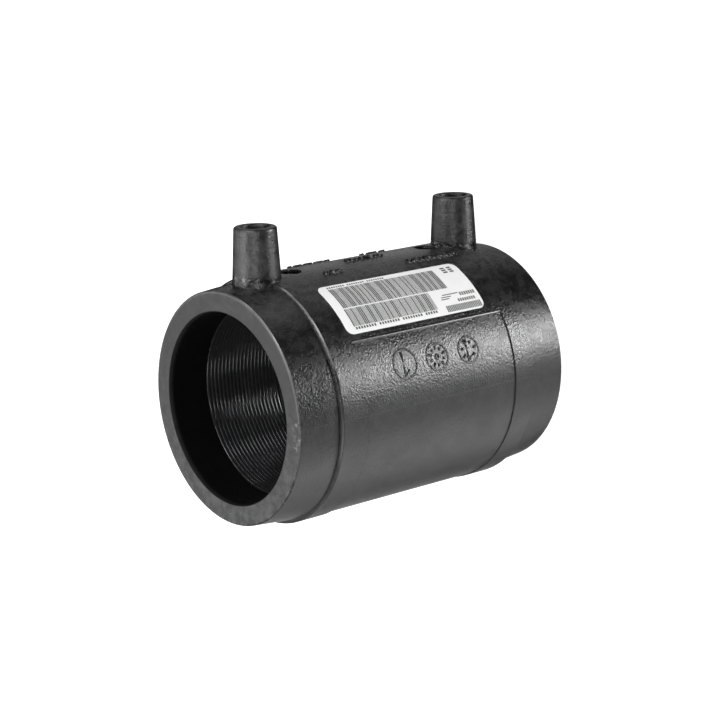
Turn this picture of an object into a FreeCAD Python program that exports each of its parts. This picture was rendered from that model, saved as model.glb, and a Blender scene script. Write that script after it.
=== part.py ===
import FreeCAD, Part
import math
import os

from FreeCAD import Vector

# Electrofusion coupler for 63 mm polyethylene pipe. Lengths are in millimetres, angles in degrees.
# It stands on one mouth with its bore upright. The two terminals point to +X and the label is turned
# towards -Y. Heights count from the mouth it stands on. The upper half mirrors the lower one, but for
# the recess, whose upper end lies further from the mouth.

# Moulded body
length = 117.0
bore_r = 32.1
mouth_lead_length = 1.8
mouth_lead_depth = 0.45
collar_wall = 7.3
collar_length = 15.25
collar_taper = 1.3
edge_chamfer = 0.45
belt_step = 2.55
belt_width = 9.65
upper_belt_width = 11.1
belt_chamfer = 0.65
recess_depth = 0.4
pad_half_angle = 55.3

# Heating winding: one jacketed wire, wound in two zones against the bore
entry_length = 15.25
wire_d = 1.5
winding_proud = 0.35
turn_pitch = 1.605
turns_per_zone = 19
link_sink = 1.0
lead_length = 3.35

# Terminals: a tapered shroud moulded in one with the body, and a turned pin in its well
terminal_offset = 0.5
shroud_height = 17.0
shroud_tip_r = 7.2
shroud_taper = 3.2
shroud_rim_height = 0.75
shroud_rim_depth = 0.5
well_r = 4.75
well_depth = 13.0
well_chamfer = 0.3
pin_r = 2.0
pin_tip_depth = 3.2
pin_tip_chamfer = 0.4
pin_foot_r = 3.0
pin_foot_show = 1.0
pin_groove_depth = 0.6
pin_groove_width = 1.6
pin_groove_height = 2.2

# Fusion indicators: a blind well with a peg, on the line of the terminals
indicator_inset = 12.9
indicator_r = 4.1
indicator_depth = 4.5
indicator_peg_r = 2.1
indicator_peg_drop = 1.0

# Pipe stops at mid length
stop_count = 4
stop_first_angle = 45.0
stop_angle = 9.0
stop_height = 2.4
stop_proud = 1.5
stop_root = 0.6

# Label on the pad
label_thickness = 0.15
label_length = 60.5
label_from_mouth = 30.5
label_start_angle = 22.8
label_width = 21.4
label_corner_r = 2.6

# Sizes that follow
collar_r = bore_r + collar_wall
belt_r = collar_r + belt_step
recess_r = belt_r - recess_depth
zone_length = turns_per_zone * turn_pitch
crest_r = bore_r - winding_proud
winding_back_r = crest_r + wire_d
wire_r = wire_d / 2
terminal_height = entry_length - terminal_offset
shroud_tip = belt_r + shroud_height
well_floor = shroud_tip - well_depth
pin_foot = winding_back_r + lead_length
pin_shoulder = well_floor + pin_foot_show
pin_tip = shroud_tip - pin_tip_depth
indicator_height = collar_length + indicator_inset
axis_x = (belt_r - shroud_tip) / 2

UP = Vector(0, 0, 1)
ORIGIN = Vector(0, 0, 0)


def turned(points):
    """A solid turned about the Z axis from (radius, height) points."""
    corners = [Vector(r, 0, z) for r, z in points]
    face = Part.Face(Part.makePolygon(corners + [corners[0]]))
    return face.revolve(ORIGIN, UP, 360)


def ring_sector(r_in, r_out, z_low, z_high, first, sweep):
    """Part of a ring about the Z axis, from the angle first through the angle sweep."""
    corners = [
        Vector(r_in, 0, z_low),
        Vector(r_out, 0, z_low),
        Vector(r_out, 0, z_high),
        Vector(r_in, 0, z_high),
    ]
    face = Part.Face(Part.makePolygon(corners + [corners[0]]))
    face.rotate(ORIGIN, UP, first)
    return face.revolve(ORIGIN, UP, sweep)


def pointed_out(shape, height):
    """Turn a shape made about +Z so that it points to +X at a height above the foot."""
    shape.rotate(ORIGIN, Vector(0, 1, 0), 90)
    shape.translate(Vector(0, 0, height))
    return shape


def both_ends(height):
    """A height above the foot and its mirror from the upper mouth."""
    return [height, length - height]


def body_blank():
    """The outside of the moulding: two collars that widen inwards, two belts and the cylinder between them."""
    half = [
        (0, 0),
        (collar_r - edge_chamfer, 0),
        (collar_r, edge_chamfer),
        (collar_r + collar_taper, collar_length),
        (belt_r - belt_chamfer, collar_length),
        (belt_r, collar_length + belt_chamfer),
    ]
    mirrored = [(r, length - z) for r, z in reversed(half)]
    return turned(half + mirrored)


def recess():
    """The shallow band between the belts, which stops at the two long edges of the label pad."""
    low = collar_length + belt_width
    high = length - collar_length - upper_belt_width
    sweep = 360 - 2 * pad_half_angle
    return ring_sector(recess_r, belt_r + 1, low, high, pad_half_angle, sweep)


def shroud():
    """The outside of one terminal shroud, about +Z, rooted inside the wall of the body."""
    slope = math.tan(math.radians(shroud_taper))
    root = (bore_r + collar_r) / 2
    rim_foot = shroud_tip - shroud_rim_height
    return turned([
        (0, root),
        (shroud_tip_r + (rim_foot - root) * slope, root),
        (shroud_tip_r, rim_foot),
        (shroud_tip_r - shroud_rim_depth / 3, shroud_tip - shroud_rim_height / 3),
        (shroud_tip_r - shroud_rim_depth, shroud_tip),
        (0, shroud_tip),
    ])


def shroud_well():
    """The open well of a shroud, with a small chamfer at its mouth."""
    return turned([
        (0, well_floor),
        (well_r, well_floor),
        (well_r, shroud_tip - well_chamfer),
        (well_r + well_chamfer, shroud_tip),
        (well_r + well_chamfer, shroud_tip + 1),
        (0, shroud_tip + 1),
    ])


def terminal_pin():
    """A turned pin about +Z: grooved foot held by the moulding, then the bare contact."""
    groove = pin_foot + pin_groove_height
    return turned([
        (0, pin_foot),
        (pin_foot_r, pin_foot),
        (pin_foot_r, groove),
        (pin_foot_r - pin_groove_depth, groove),
        (pin_foot_r - pin_groove_depth, groove + pin_groove_width),
        (pin_foot_r, groove + pin_groove_width),
        (pin_foot_r, pin_shoulder),
        (pin_r, pin_shoulder),
        (pin_r, pin_tip - pin_tip_chamfer),
        (pin_r - pin_tip_chamfer, pin_tip),
        (0, pin_tip),
    ])


def indicator_well():
    """A blind well about +Z that leaves its peg standing."""
    floor = belt_r - indicator_depth
    well = Part.makeCylinder(indicator_r, indicator_depth + 1, Vector(0, 0, floor))
    peg = Part.makeCylinder(indicator_peg_r, indicator_depth - indicator_peg_drop, Vector(0, 0, floor))
    return well.cut(peg)


def winding_zone(start):
    """One zone of the winding: its turns lie side by side, drawn to their crests."""
    return turned([
        (crest_r, start),
        (winding_back_r, start),
        (winding_back_r, start + zone_length),
        (crest_r, start + zone_length),
    ])


def zone_seat(start):
    """The groove of the bore that a zone of the winding lies in."""
    return turned([
        (bore_r - 1, start),
        (winding_back_r, start),
        (winding_back_r, start + zone_length),
        (bore_r - 1, start + zone_length),
    ])


def wire_runs():
    """The straight runs of the wire: a lead out to each pin and the link between the zones."""
    runs = []
    for height in both_ends(entry_length + turn_pitch / 2):
        start = crest_r + wire_r
        runs.append(pointed_out(Part.makeCylinder(wire_r, pin_foot - start, Vector(0, 0, start)), height))
    low = entry_length + zone_length - wire_d
    place = Vector(-(winding_back_r - wire_r + link_sink), 0, low)
    runs.append(Part.makeCylinder(wire_r, length - 2 * low, place))
    return runs


def label():
    """The film label, curved to the pad, with round corners."""
    sweep = math.degrees(label_width / belt_r)
    low = label_from_mouth
    first = -(label_start_angle + sweep)
    film = ring_sector(belt_r, belt_r + label_thickness, low, low + label_length, first, sweep)
    corners = [edge for edge in film.Edges if edge.Length < 2 * label_thickness]
    return film.makeFillet(label_corner_r, corners)


zone_starts = [entry_length, length - entry_length - zone_length]
terminal_heights = both_ends(terminal_height)
runs = wire_runs()
pins = [pointed_out(terminal_pin(), height) for height in terminal_heights]

body = body_blank()
body = body.cut(recess())
body = body.fuse([pointed_out(shroud(), height) for height in terminal_heights])
bore = turned([
    (0, -1),
    (bore_r + mouth_lead_depth, -1),
    (bore_r + mouth_lead_depth, 0),
    (bore_r, mouth_lead_length),
    (bore_r, length - mouth_lead_length),
    (bore_r + mouth_lead_depth, length),
    (bore_r + mouth_lead_depth, length + 1),
    (0, length + 1),
])
cuts = [bore]
cuts += [zone_seat(start) for start in zone_starts]
cuts += [pointed_out(shroud_well(), height) for height in terminal_heights]
cuts += [pointed_out(indicator_well(), height) for height in both_ends(indicator_height)]
cuts += runs + pins
body = body.cut(cuts)
stops = []
for number in range(stop_count):
    first = stop_first_angle + number * 360 / stop_count - stop_angle / 2
    low = (length - stop_height) / 2
    stops.append(ring_sector(bore_r - stop_proud, bore_r + stop_root, low, low + stop_height, first, stop_angle))
body = body.fuse(stops).removeSplitter()

winding = winding_zone(zone_starts[0]).fuse([winding_zone(zone_starts[1])] + runs)

nodes = {
    "coupler_body": body,
    "heating_winding": winding,
    "terminal_pin_lower": pins[0],
    "terminal_pin_upper": pins[1],
    "label": label(),
}

os.makedirs("parts", exist_ok=True)
for name, shape in nodes.items():
    solid = shape.Solids[0] if len(shape.Solids) == 1 else shape
    placed = solid.copy()
    placed.translate(Vector(axis_x, 0, 0))
    placed.exportStep(f"parts/{name}.step")
    print(name, "solids", len(shape.Solids), "valid", placed.isValid(), "volume", round(placed.Volume, 1))
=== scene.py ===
import math
from types import SimpleNamespace

import bpy
from mathutils import Matrix, Vector


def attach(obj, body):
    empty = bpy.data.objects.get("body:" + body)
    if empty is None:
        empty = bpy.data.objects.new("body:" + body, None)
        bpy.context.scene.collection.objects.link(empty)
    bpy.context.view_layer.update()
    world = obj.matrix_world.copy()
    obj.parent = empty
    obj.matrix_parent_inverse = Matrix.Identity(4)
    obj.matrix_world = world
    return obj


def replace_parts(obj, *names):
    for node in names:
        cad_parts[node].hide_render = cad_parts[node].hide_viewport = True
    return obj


# Looks of the electrofusion coupler. Sizes are in millimetres and angles in degrees, and each point is
# scaled to metres when it is made. Heights count from the mouth that the coupler stands on, and angles
# count from its terminals towards the side that carries the label.

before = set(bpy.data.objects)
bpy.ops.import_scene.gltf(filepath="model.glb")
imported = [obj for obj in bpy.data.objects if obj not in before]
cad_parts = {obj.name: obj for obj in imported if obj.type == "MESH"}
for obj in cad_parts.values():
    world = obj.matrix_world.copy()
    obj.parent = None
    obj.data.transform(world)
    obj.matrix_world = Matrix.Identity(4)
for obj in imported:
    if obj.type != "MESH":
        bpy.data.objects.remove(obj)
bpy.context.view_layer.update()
MM = 0.001

# The CAD sizes that the pieces here are fitted to
axis_x = -8.5
length = 117.0
bore_r = 32.1
collar_r = 39.4
collar_length = 15.25
collar_taper = 1.3
belt_step = 2.55
belt_width = 9.65
upper_belt_width = 11.1
belt_chamfer = 0.65
recess_depth = 0.4
pad_half_angle = 55.3
entry_length = 15.25
wire_r = 0.75
winding_proud = 0.35
turn_pitch = 1.605
turns_per_zone = 19
link_sink = 1.0
lead_length = 3.35
label_thickness = 0.15
label_high = 91.0
label_start = 22.8

# Sizes that follow
belt_r = collar_r + belt_step
recess_r = belt_r - recess_depth
recess_low = collar_length + belt_width
recess_high = length - collar_length - upper_belt_width
crest_r = bore_r - winding_proud
winding_back_r = crest_r + 2 * wire_r
zone_low = entry_length
zone_high = zone_low + turns_per_zone * turn_pitch
link_r = winding_back_r - wire_r + link_sink
pin_foot = winding_back_r + lead_length
label_r = belt_r + label_thickness


# Shapes

def on_wall(angle, height, radius):
    """A point at an angle, a height above the foot and a distance from the bore axis."""
    turn = math.radians(angle)
    return Vector((axis_x + radius * math.cos(turn), -radius * math.sin(turn), height)) * MM


def made(name, points, faces, material, smooth=True):
    """A mesh piece that rides on the coupler."""
    mesh = bpy.data.meshes.new(name)
    mesh.from_pydata(points, [], faces)
    mesh.validate()
    for face in mesh.polygons:
        face.use_smooth = smooth
    mesh.materials.append(material)
    piece = bpy.data.objects.new(name, mesh)
    bpy.context.scene.collection.objects.link(piece)
    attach(piece, "root")
    return piece


def round_section(radius, sides=12):
    """The (across, outward) points of a round wire."""
    turns = [2 * math.pi * side / sides for side in range(sides)]
    return [(radius * math.sin(turn), radius * math.cos(turn)) for turn in turns]


def add_wire(points, faces, centres, section):
    """Append a wire of a given section along a line of points, closed at both ends."""
    first = len(points)
    count = len(centres)
    sides = len(section)
    for number, centre in enumerate(centres):
        before = centres[max(number - 1, 0)]
        after = centres[min(number + 1, count - 1)]
        along = (after - before).normalized()
        outward = Vector((centre.x - axis_x * MM, centre.y, 0)).normalized()
        across = along.cross(outward).normalized()
        lift = across.cross(along).normalized()
        for aside, out in section:
            points.append(centre + (lift * out + across * aside) * MM)
    for number in range(count - 1):
        for side in range(sides):
            a = first + number * sides + side
            b = first + number * sides + (side + 1) % sides
            faces.append((a, b, b + sides, a + sides))
    last = first + (count - 1) * sides
    faces.append(tuple(reversed(range(first, first + sides))))
    faces.append(tuple(range(last, last + sides)))


def add_ridge(points, faces, line, ridge, wall, closed=False):
    """Append a raised line. Its line holds (millimetres round, height) points from the angle of the wall."""
    width, proud = ridge
    angle, radius = wall
    section = [(-0.5, -0.1), (-0.26, 0.66), (0, 1), (0.26, 0.66), (0.5, -0.1)]
    first = len(points)
    count = len(line)
    for number, (around, height) in enumerate(line):
        before = line[(number - 1) % count] if closed else line[max(number - 1, 0)]
        after = line[(number + 1) % count] if closed else line[min(number + 1, count - 1)]
        run = Vector((after[0] - before[0], after[1] - before[1])).normalized()
        for offset, lift in section:
            u = around - run.y * offset * width
            v = height + run.x * offset * width
            points.append(on_wall(angle + math.degrees(u / radius), v, radius + lift * proud))
    rows = len(section)
    spans = count if closed else count - 1
    for number in range(spans):
        a = first + number * rows
        b = first + (number + 1) % count * rows
        for row in range(rows - 1):
            faces.append((a + row, b + row, b + row + 1, a + row + 1))
    if not closed:
        last = first + (count - 1) * rows
        faces.append(tuple(range(first, first + rows)))
        faces.append(tuple(reversed(range(last, last + rows))))


def ring_line(height, radius, steps=40):
    """The points of a circle that is drawn on the wall."""
    turns = [2 * math.pi * step / steps for step in range(steps)]
    return [(radius * math.cos(turn), height + radius * math.sin(turn)) for turn in turns]


def add_print(points, faces, across, down, size_across, size_down):
    """Append a printed field on the label: measured from its upper left corner, as the label is read."""
    ink_lift = 0.03
    rows = max(1, round(size_down))
    first = len(points)
    for row in range(rows + 1):
        angle = label_start + math.degrees((down + size_down * row / rows) / belt_r)
        for side in (0, 1):
            height = label_high - across - size_across * side
            points.append(on_wall(angle, height, label_r + ink_lift))
    for row in range(rows):
        a = first + 2 * row
        faces.append((a, a + 2, a + 3, a + 1))


# Materials

class Finish:
    """A new material, with short ways to add its nodes. Most of them give the socket that comes out."""

    def __init__(self, name):
        self.material = bpy.data.materials.new(name)
        self.material.use_nodes = True
        self.tree = self.material.node_tree
        self.shader = self.tree.nodes["Principled BSDF"]
        self.place = self.add("ShaderNodeTexCoord").outputs["Object"]

    def feed(self, target, value):
        """Link an input to a socket, or set it to a plain value."""
        if isinstance(value, bpy.types.NodeSocket):
            self.tree.links.new(value, target)
        else:
            target.default_value = value

    def add(self, kind, inputs=None, **settings):
        """A new node."""
        node = self.tree.nodes.new(kind)
        for key, value in settings.items():
            setattr(node, key, value)
        for key, value in (inputs or {}).items():
            self.feed(node.inputs[key], value)
        return node

    def number(self, operation, *values):
        """What a Math node makes of some numbers."""
        return self.add("ShaderNodeMath", dict(enumerate(values)), operation=operation).outputs[0]

    def vector(self, operation, *values):
        """What a Vector Math node makes of some vectors."""
        return self.add("ShaderNodeVectorMath", dict(enumerate(values)), operation=operation).outputs[0]

    def spread(self, value, low, high, to_low=0.0, to_high=1.0):
        """A number turned from one range to another and held at its ends."""
        ends = {"From Min": low, "From Max": high, "To Min": to_low, "To Max": to_high}
        return self.add("ShaderNodeMapRange", {"Value": value, **ends}).outputs["Result"]

    def blend(self, mask, first, second):
        """A number that goes from the first to the second as the mask goes from 0 to 1."""
        return self.spread(mask, 0.0, 1.0, first, second)

    def past(self, value, low, high):
        """A mask that rises from 0 at the place low to 1 at the place high."""
        return self.spread(value, low * MM, high * MM)

    def band(self, value, rise, fall):
        """A mask that rises between two places and falls again between two further ones."""
        return self.all_of(self.past(value, *rise), self.past(value, *reversed(fall)))

    def all_of(self, mask, *others):
        """The masks multiplied: where all of them are."""
        for other in others:
            mask = self.number("MULTIPLY", mask, other)
        return mask

    def any_of(self, mask, *others):
        """The highest of the masks: where one of them is."""
        for other in others:
            mask = self.number("MAXIMUM", mask, other)
        return mask

    def noise(self, scale, detail, **inputs):
        """Noise over the object's place."""
        values = {"Vector": self.place, "Scale": scale, "Detail": detail, **inputs}
        return self.add("ShaderNodeTexNoise", values).outputs["Fac"]

    def tones(self, value, dark, light):
        """A colour between a dark and a light one."""
        ramp = self.add("ShaderNodeValToRGB", {"Fac": value})
        ramp.color_ramp.elements[0].color = (*dark, 1)
        ramp.color_ramp.elements[1].color = (*light, 1)
        return ramp.outputs["Color"]

    def bumps(self, height, distance, strength, **inputs):
        """The normal of a surface that rises and sinks by a distance."""
        values = {"Height": height, "Distance": distance * MM, "Strength": strength, **inputs}
        return self.add("ShaderNodeBump", values).outputs["Normal"]

    def dressed(self, inputs):
        """The material, with these inputs on its shader."""
        for key, value in inputs.items():
            self.feed(self.shader.inputs[key], value)
        return self.material


def body_zones(finish):
    """Masks of the zones of the moulding, told by their place on it."""
    x, y, z = finish.add("ShaderNodeSeparateXYZ", {"Vector": finish.place}).outputs
    from_axis = finish.vector("SUBTRACT", finish.place, (axis_x * MM, 0, 0))
    across = finish.vector("MULTIPLY", from_axis, (1, 1, 0))
    radius = finish.add("ShaderNodeVectorMath", {0: across}, operation="LENGTH").outputs["Value"]
    middle = length / 2
    from_middle = finish.number("ABSOLUTE", finish.number("SUBTRACT", z, middle * MM))
    belt_end = middle - collar_length
    belt_edge = belt_end - belt_chamfer
    recess_end = recess_high - middle
    pad_x = axis_x + belt_r * math.cos(math.radians(pad_half_angle))

    upper = finish.past(x, axis_x - 0.5, axis_x + 8.0)
    wall = finish.band(radius, (collar_r - 0.5, collar_r - 0.2), (belt_r + 1.2, belt_r + 1.6))
    raised = finish.band(radius, (belt_r + 0.1, belt_r + 0.25), (belt_r + 1.0, belt_r + 1.2))
    mouth = finish.all_of(
        finish.past(from_middle, middle - 0.6, middle - 0.5),
        finish.past(radius, collar_r - 0.6, collar_r - 0.5),
    )
    step = finish.all_of(
        finish.band(from_middle, (belt_edge - 0.1, belt_edge), (belt_end, belt_end + 0.1)),
        finish.past(radius, belt_r - 0.44, belt_r - 0.36),
    )
    pad_edge = finish.all_of(
        finish.band(x, (pad_x - 0.7, pad_x - 0.6), (pad_x + 0.4, pad_x + 0.5)),
        finish.past(from_middle, recess_end + 0.1, recess_end),
    )
    # The mouth's outer rim: worn flecks all round, and a painted highlight along its upper half.
    rim_wear_and_highlight = finish.all_of(
        finish.past(from_middle, middle - 0.5, middle - 0.4),
        finish.past(radius, collar_r - 1.0, collar_r - 0.7),
    )
    scuffed = finish.all_of(
        finish.past(z, length - 0.12, length - 0.06),
        finish.past(y, -35.0, -36.5),
        finish.band(x, (axis_x - 9.0, axis_x - 7.0), (axis_x + 2.0, axis_x + 4.0)),
    )
    pale_face = finish.all_of(
        finish.past(from_middle, middle - 0.12, middle - 0.06),
        finish.past(x, axis_x + 34.0, axis_x - 30.0),
    )
    crown = finish.past(x, axis_x + 30.0, axis_x + 38.0)
    return SimpleNamespace(
        upper=upper,
        grained=finish.all_of(upper, wall),
        shroud=finish.past(radius, belt_r + 1.2, belt_r + 1.6),
        past_bore=finish.past(radius, bore_r + 0.05, bore_r + 0.25),
        outside=finish.past(radius, bore_r + 0.55, bore_r + 0.75),
        raised=raised,
        edges=finish.any_of(mouth, step, pad_edge, raised),
        rim_wear_and_highlight=rim_wear_and_highlight,
        scuffed=scuffed,
        pale_patches=finish.any_of(finish.blend(crown, 0.25, 0.6), pale_face),
    )


def body_colour(finish, zones, cloud, patch):
    """Near black in the bore as painted shade; dark grey outside with paler cloudy patches, strongest on the
    end faces away from the terminals and on the crown; pale flecks of wear where it is nicked or scuffed,
    painted glints on the raised marks and a painted highlight along the upper half of the mouth's rim.
    """
    # Paler cloudy patches, strongest on the end faces away from the terminals and on the crown.
    paleness = finish.number("MULTIPLY_ADD", cloud, 0.3, finish.all_of(patch, zones.pale_patches))
    # Near black inside the bore: painted shade, as the plastic there is the same as outside.
    tone = finish.tones(finish.all_of(zones.outside, paleness), (0.002, 0.002, 0.002), (0.038, 0.0385, 0.039))
    flecks = finish.spread(finish.noise(600.0, 4.0), 0.53, 0.72)
    # Pale flecks: wear on the scuffs and the rim, painted glints on the raised marks.
    fleck_wear_and_glints = finish.number("MULTIPLY", zones.scuffed, 0.5)
    fleck_wear_and_glints = finish.number("MULTIPLY_ADD", zones.raised, 0.7, fleck_wear_and_glints)
    fleck_wear_and_glints = finish.number("MULTIPLY_ADD", zones.rim_wear_and_highlight, 0.25, fleck_wear_and_glints)
    # A pale line round the upper half of the mouth's rim: a painted highlight.
    painted_rim_highlight = finish.number("MULTIPLY", finish.all_of(zones.rim_wear_and_highlight, zones.upper), 0.22)
    wear_and_highlights = finish.any_of(painted_rim_highlight, finish.all_of(fleck_wear_and_glints, flecks))
    inputs = {"Factor": wear_and_highlights, "A": tone, "B": (0.22, 0.22, 0.22, 1)}
    return finish.add("ShaderNodeMix", inputs, data_type="RGBA").outputs["Result"]


def body_roughness(finish, zones, cloud, patch):
    """Glossier on the spark grain, the shrouds and the edges, and cloudy all over."""
    rough = finish.blend(zones.grained, 0.5, 0.25)
    rough = finish.number("MULTIPLY_ADD", zones.shroud, -0.12, rough)
    rough = finish.number("MULTIPLY_ADD", zones.edges, -0.08, rough)
    change = finish.number("MULTIPLY_ADD", patch, 0.05, finish.blend(cloud, -0.1, 0.1))
    return finish.number("ADD", rough, change)


def body_relief(finish, zones):
    """A leathery grain, fainter on the side away from the terminals and drawn out along the shrouds."""
    leather = finish.noise(1400.0, 2.5, Distortion=0.3)
    height = finish.number("MULTIPLY_ADD", finish.noise(2500.0, 2.0), 0.3, leather)
    stretched = finish.vector("MULTIPLY", finish.place, (1, 0.08, 0.08))
    drawn = finish.noise(2600.0, 2.0, Vector=stretched)
    height = finish.number("MULTIPLY_ADD", drawn, zones.shroud, height)
    strength = finish.number("MULTIPLY_ADD", zones.shroud, 0.2, finish.blend(zones.grained, 0.5, 1.0))
    strength = finish.all_of(strength, finish.blend(zones.edges, 1.0, 0.12))
    rounding = finish.blend(zones.shroud, 0.34 * MM, 0.85 * MM)
    rounded = finish.add("ShaderNodeBevel", {"Radius": rounding}, samples=6).outputs["Normal"]
    return finish.bumps(height, 0.165, strength, Normal=rounded)


def moulded_black():
    """Black polyethylene, sparked on the side of the terminals and satin on the other; in the bore its colour
    and specular tint are painted darker as shade.
    """
    finish = Finish("moulded_black")
    zones = body_zones(finish)
    cloud = finish.noise(110.0, 3.0)
    patch = finish.spread(finish.noise(300.0, 4.0, Roughness=0.6), 0.4, 0.64)
    return finish.dressed({
        "Base Color": body_colour(finish, zones, cloud, patch),
        "Roughness": body_roughness(finish, zones, cloud, patch),
        # The specular tint drops to a fifth in the bore: painted shade.
        "Specular Tint": finish.blend(zones.past_bore, 0.2, 1.0),
        "Normal": body_relief(finish, zones),
    })


def wire_jacket():
    """The black jacket of the heating wire, drawn smooth and rubbed in places."""
    finish = Finish("wire_jacket")
    return finish.dressed({
        "Base Color": (0.014, 0.014, 0.015, 1),
        "Roughness": finish.spread(finish.noise(260.0, 3.0), 0.38, 0.62, 0.07, 0.22),
        "Normal": finish.bumps(finish.noise(900.0, 2.0), 0.06, 0.25),
    })


def turned_brass():
    """Turned brass with fine rings and a little tarnish."""
    finish = Finish("turned_brass")
    tarnish = finish.noise(400.0, 3.0)
    inputs = {"Vector": finish.place, "Scale": 900.0, "Distortion": 1.0}
    rings = finish.add("ShaderNodeTexWave", inputs, bands_direction="X").outputs["Fac"]
    return finish.dressed({
        "Base Color": finish.tones(tarnish, (0.50, 0.33, 0.12), (0.78, 0.56, 0.25)),
        "Metallic": 1.0,
        "Roughness": finish.blend(tarnish, 0.22, 0.42),
        "Normal": finish.bumps(rings, 0.03, 0.15),
    })


def label_film():
    """White label film with a faint unevenness."""
    finish = Finish("label_film")
    uneven = finish.noise(160.0, 2.0)
    return finish.dressed({
        "Base Color": finish.tones(uneven, (0.80, 0.80, 0.80), (0.87, 0.87, 0.865)),
        "Roughness": finish.blend(uneven, 0.34, 0.5),
    })


def printed_ink():
    """Dark print on the label."""
    finish = Finish("printed_ink")
    return finish.dressed({
        "Base Color": finish.tones(finish.noise(1500.0, 2.0), (0.03, 0.03, 0.03), (0.07, 0.07, 0.07)),
        "Roughness": 0.45,
    })


black = moulded_black()
jacket = wire_jacket()
brass = turned_brass()
film = label_film()
ink = printed_ink()
finishes = {
    "coupler_body": black,
    "terminal_pin_lower": brass,
    "terminal_pin_upper": brass,
    "label": film,
}
for name, material in finishes.items():
    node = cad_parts[name]
    node.data.materials.clear()
    node.data.materials.append(material)


# Heating wire: each zone is one helix from the lead at its pin to the link on the far side

def winding():
    """Both zones with their leads and link. The wire is pressed flat where it lies against its neighbours."""
    points = []
    faces = []
    pressed = [
        (0.0, 0.62), (0.6, 0.55), (0.77, 0.1), (0.77, -0.5), (0.62, -0.6), (0.36, -0.7),
        (0.0, -0.75), (-0.36, -0.7), (-0.62, -0.6), (-0.77, -0.5), (-0.77, 0.1), (-0.6, 0.55),
    ]
    centre_r = crest_r + wire_r
    steps_per_turn = 104
    steps = round((turns_per_zone - 0.5) * steps_per_turn)
    first_turn = zone_low + wire_r
    last_turn = zone_high - wire_r
    lower = []
    for step in range(steps + 1):
        height = first_turn + (last_turn - first_turn) * step / steps
        lower.append((360 * step / steps_per_turn, height))
    upper = [(-angle, length - height) for angle, height in lower]
    for helix in (lower, upper):
        add_wire(points, faces, [on_wall(angle, height, centre_r) for angle, height in helix], pressed)
    for height in (first_turn, length - first_turn):
        lead = [on_wall(0, height, radius) for radius in (centre_r, pin_foot)]
        add_wire(points, faces, lead, round_section(wire_r))
    link = [on_wall(180, height, link_r) for height in (last_turn, length - last_turn)]
    add_wire(points, faces, link, round_section(wire_r))
    return made("heating_wire", points, faces, jacket)


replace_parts(winding(), "heating_winding")


# Raised marks on the wall: round marks, plain bars on the crown, the two parting lines and the pad's edges

def date_marks():
    """Three round marks: a bare one and one with ticks, each with a bar and a stroke, and one with a hub."""
    points = []
    faces = []
    wall = (70.0, recess_r)
    bar_lift = 0.7
    ring, tick, hub, bar, stroke = (0.85, 0.17), (1.1, 0.27), (1.0, 0.35), (1.4, 0.3), (0.8, 0.25)
    for height, radius, ticks in ((72.5, 4.9, 0), (58.4, 4.6, 10), (44.3, 4.4, 7)):
        add_ridge(points, faces, ring_line(height, radius), ring, wall, closed=True)
        for number in range(ticks):
            turn = 2 * math.pi * number / ticks
            ends = (radius * 0.5, radius * (0.72 + 0.12 * (number % 2)))
            line = [(end * math.cos(turn), height + end * math.sin(turn)) for end in ends]
            add_ridge(points, faces, line, tick, wall)
        if ticks == 10:
            add_ridge(points, faces, ring_line(height, 0.7, 16), hub, wall, closed=True)
        else:
            reach = radius * 0.84
            tip = (reach, height + bar_lift)
            add_ridge(points, faces, [(-reach, height + bar_lift), tip], bar, wall)
            add_ridge(points, faces, [tip, (reach * 0.5, height - 1.3)], stroke, wall)
    return made("date_marks", points, faces, black)


def crown_bars():
    """Rows of plain bars: the angle, lower end and reach of a row, then the size and step of its bars."""
    points = []
    faces = []
    upright, crossbar = (1.0, 0.65), (0.9, 0.6)
    rows = (
        (0.5, 49.5, 16.0, 3.2, 2.1),
        (15.0, 24.5, 23.0, 3.4, 1.9),
        (11.5, 73.5, 8.5, 2.2, 1.7),
        (2.0, 23.0, 3.5, 3.0, 1.7),
        (-14.0, 64.0, 18.0, 1.6, 1.5),
        (-15.5, 38.0, 11.0, 1.2, 1.9),
    )
    for angle, low, reach, tall, step in rows:
        wall = (angle, belt_r)
        for number in range(round(reach / step)):
            height = low + step * number
            half = tall / 2 * (0.6 + 0.4 * (number * 7 % 5) / 4)
            lean = 0.4 * (number * 5 % 3 - 1)
            add_ridge(points, faces, [(-half, height - lean), (half, height + lean)], upright, wall)
            if number % 3 != 1:
                top = half * (1 - number % 2)
                line = [(-top, height), (-top, height + step * 0.7)]
                add_ridge(points, faces, line, crossbar, wall)
    return made("crown_bars", points, faces, black)


def parting_lines():
    """The fine flash along both sides of the moulding, over its collars, belts and recess."""
    points = []
    faces = []
    edge = 0.05
    outline = [
        (0.5, collar_r),
        (collar_length - edge, collar_r + collar_taper),
        (collar_length, belt_r - belt_chamfer),
        (collar_length + belt_chamfer, belt_r),
        (recess_low - edge, belt_r),
        (recess_low + edge, recess_r),
        (recess_high - edge, recess_r),
        (recess_high + edge, belt_r),
    ]
    outline += [(length - height, radius) for height, radius in reversed(outline[:5])]
    section = [(-0.12, -0.05), (-0.07, 0.07), (0.07, 0.07), (0.12, -0.05)]
    rows = len(section)
    for angle in (89.0, -89.0):
        first = len(points)
        for height, radius in outline:
            for offset, lift in section:
                points.append(on_wall(angle + math.degrees(offset / radius), height, radius + lift))
        for number in range(len(outline) - 1):
            for row in range(rows - 1):
                a = first + number * rows + row
                faces.append((a, a + rows, a + rows + 1, a + 1))
    return made("parting_lines", points, faces, black, smooth=False)


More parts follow.
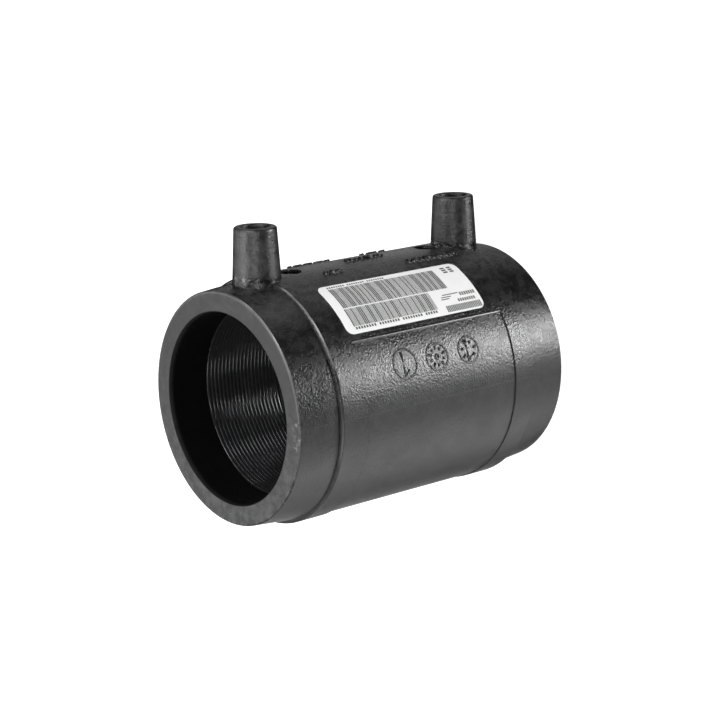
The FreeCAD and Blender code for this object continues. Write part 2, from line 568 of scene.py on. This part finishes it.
def pad_edges():
    """The rounding along the two long edges of the label pad."""
    points = []
    faces = []
    rounded = [
        (-0.5, belt_r - 0.04),
        (-0.35, belt_r + 0.02),
        (0.1, belt_r - 0.06),
        (0.4, belt_r - 0.17),
        (0.55, recess_r - 0.05),
    ]
    mirrored = [(-offset, radius) for offset, radius in reversed(rounded)]
    rows = len(rounded)
    for angle, profile in ((pad_half_angle, rounded), (-pad_half_angle, mirrored)):
        first = len(points)
        for height in (recess_low, recess_high):
            for offset, radius in profile:
                points.append(on_wall(angle + math.degrees(offset / radius), height, radius))
        for row in range(rows - 1):
            a = first + row
            faces.append((a, a + rows, a + rows + 1, a + 1))
    return made("pad_edges", points, faces, black)


date_marks()
crown_bars()
parting_lines()
pad_edges()


# Label print: plain bars in two rows, with small fields at the right. Places count across and down the label.

def bar_row(points, faces, start, end, down, size_down, seed):
    """A row of wide and narrow bars in groups, which a small sum varies from its seed."""
    wide = (0.5, 0.7)
    narrow = (0.2, 0.45)
    across = start
    number = seed
    while across < end:
        number = (number * 37 + 11) % 101
        for thick, step in [wide] * (1 + number % 3) + [narrow] * (2 + number // 3 % 4):
            if across + thick < end:
                add_print(points, faces, across, down, thick, size_down)
            across += step


def mark_line(points, faces, start, down, size_down, count, step):
    """A line of small marks, with a gap at each ninth."""
    for number in range(count):
        if number % 9 != 8:
            add_print(points, faces, start + number * step, down, step * 0.62, size_down)


def label_print():
    """All the print of the label."""
    points = []
    faces = []
    mark_line(points, faces, 4.0, 0.8, 0.7, 27, 0.95)
    bar_row(points, faces, 3.8, 49.8, 2.0, 9.3, 7)
    bar_row(points, faces, 3.5, 40.5, 11.8, 7.0, 23)
    mark_line(points, faces, 3.9, 19.1, 0.9, 32, 1.12)
    for down in (1.7, 2.8, 3.9):
        add_print(points, faces, 53.0, down, 1.9, 0.7)
        add_print(points, faces, 55.9, down, 1.8, 0.7)
    for down, start, size in ((13.8, 45.0, 7.0), (14.7, 44.0, 4.4), (15.5, 43.6, 3.6)):
        add_print(points, faces, start, down, size, 0.35)
    mark_line(points, faces, 52.6, 13.9, 1.4, 7, 1.0)
    mark_line(points, faces, 50.4, 16.3, 1.2, 9, 1.0)
    for number in range(21):
        add_print(points, faces, 43.8 + 0.75 * number, 18.3, 0.5, 2.4)
    return made("label_print", points, faces, ink, smooth=False)


label_print()


# Floor, light and camera. The coupler stands on its hidden mouth, so the camera of the photograph looks
# down on it.

def lying(x, y, z):
    """Turn a direction of the photograph, where the bore lies along x, into the standing frame."""
    return Vector((z, y, -x))


centre = Vector((axis_x, 0, length / 2)) * MM

floor_reach = 6
floor_corners = [(-floor_reach, -floor_reach), (floor_reach, -floor_reach)]
floor_corners += [(floor_reach, floor_reach), (-floor_reach, floor_reach)]
floor_mesh = bpy.data.meshes.new("floor")
floor_mesh.from_pydata([(x, y, 0) for x, y in floor_corners], [], [(0, 1, 2, 3)])
floor_mesh.materials.append(Finish("floor_white").dressed({
    "Base Color": (0.35, 0.35, 0.35, 1),
    "Roughness": 1.0,
    "Emission Color": (1, 1, 1, 1),
    "Emission Strength": 0.97,
}))
floor = bpy.data.objects.new("floor", floor_mesh)
bpy.context.scene.collection.objects.link(floor)
floor.visible_diffuse = False
floor.visible_glossy = False
floor.visible_transmission = False
floor.visible_shadow = False

# Each light has the direction it comes from in the photograph, its width in metres and its power in watts
light_distance = 1.1
soft_lights = (
    ("key_a", (0.7, -0.66, 0.28), 0.3, 2.7),
    ("key_b", (0.62, -0.73, 0.28), 0.3, 0.8),
    ("key_c", (0.77, -0.57, 0.28), 0.3, 5.2),
    ("key_f", (0.68, -0.72, 0.1), 0.3, 1.8),
    ("key_j", (0.6, -0.75, -0.25), 0.5, 0.5),
    ("left_high", (-0.7, -0.2, 0.65), 0.4, 2.2),
    ("left_up", (-0.95, 0.1, 0.3), 0.5, 4.4),
    ("left_back", (-0.65, 0.72, -0.2), 0.9, 3.5),
    ("table_front", (0.55, -0.45, -0.7), 0.8, 6.1),
    ("table", (0.05, 0.0, -1.0), 0.9, 5.1),
    ("table_back", (0.45, 0.72, -0.5), 0.8, 2.3),
    ("right_back_up", (0.65, 0.5, 0.55), 0.6, 0.3),
    ("top", (0.35, 0.1, 0.92), 0.6, 0.8),
    ("inner_a", (-0.69, -0.53, -0.48), 0.3, 2.3),
    ("rim_back", (0.62, 0.75, 0.23), 0.4, 0.2),
    ("tower_left", (-0.957, 0.166, -0.234), 0.5, 6.7),
    ("roof_line", (-0.475, 0.373, 0.796), 0.3, 1.2),
    ("top_line", (-0.6, 0.08, 0.8), 0.3, 1.2),
    ("high_line", (-0.71, -0.2, 0.67), 0.3, 1.5),
    ("low_line", (-0.765, -0.452, 0.459), 0.3, 1.1),
    ("bore_upper", (-0.69, -0.53, -0.48), 0.15, 1.8),
    ("bore_middle", (-0.62, -0.77, 0.14), 0.08, 3.0),
)
for name, direction, size, power in soft_lights:
    lamp = bpy.data.lights.new(name, "AREA")
    lamp.shape = "DISK"
    lamp.size = size
    lamp.energy = power
    away = lying(*direction).normalized()
    holder = bpy.data.objects.new(name, lamp)
    holder.location = centre + away * light_distance
    holder.rotation_mode = "QUATERNION"
    holder.rotation_quaternion = away.to_track_quat("Z", "Y")
    holder.visible_camera = False
    bpy.context.scene.collection.objects.link(holder)

# The camera sees a white surround that gives no light
world = bpy.data.worlds.new("studio")
bpy.context.scene.world = world
world.use_nodes = True
world_nodes = world.node_tree.nodes
world_links = world.node_tree.links
surround = world_nodes["Background"]
surround.inputs["Color"].default_value = (1, 1, 1, 1)
surround.inputs["Strength"].default_value = 0.0
backdrop = world_nodes.new("ShaderNodeBackground")
backdrop.inputs["Color"].default_value = (1, 1, 1, 1)
rays = world_nodes.new("ShaderNodeLightPath")
choice = world_nodes.new("ShaderNodeMixShader")
world_links.new(rays.outputs["Is Camera Ray"], choice.inputs[0])
world_links.new(surround.outputs[0], choice.inputs[1])
world_links.new(backdrop.outputs[0], choice.inputs[2])
world_links.new(choice.outputs[0], world_nodes["World Output"].inputs["Surface"])

camera_azimuth = math.radians(-39.715)
camera_elevation = math.radians(13.530)
camera_roll = math.radians(-1.422)
camera_distance = 702.46
camera_shift = (-0.657, 6.304)
back = Vector((
    math.sin(camera_azimuth) * math.cos(camera_elevation),
    -math.cos(camera_azimuth) * math.cos(camera_elevation),
    math.sin(camera_elevation),
))
right = Vector((0, 0, 1)).cross(back).normalized()
up = back.cross(right)
right, up = (
    right * math.cos(camera_roll) + up * math.sin(camera_roll),
    up * math.cos(camera_roll) - right * math.sin(camera_roll),
)
spot = back * camera_distance + right * camera_shift[0] + up * camera_shift[1]
camera_data = bpy.data.cameras.new("camera")
camera_data.lens = 101.38
camera_data.sensor_width = 36.0
camera_data.clip_start = 0.01
camera_data.clip_end = 30.0
camera = bpy.data.objects.new("camera", camera_data)
turned = Matrix((lying(*right), lying(*up), lying(*back))).transposed()
camera.matrix_world = Matrix.Translation(centre + lying(*spot) * MM) @ turned.to_4x4()
bpy.context.scene.collection.objects.link(camera)
bpy.context.scene.camera = camera
bpy.context.scene.view_settings.view_transform = "Standard"
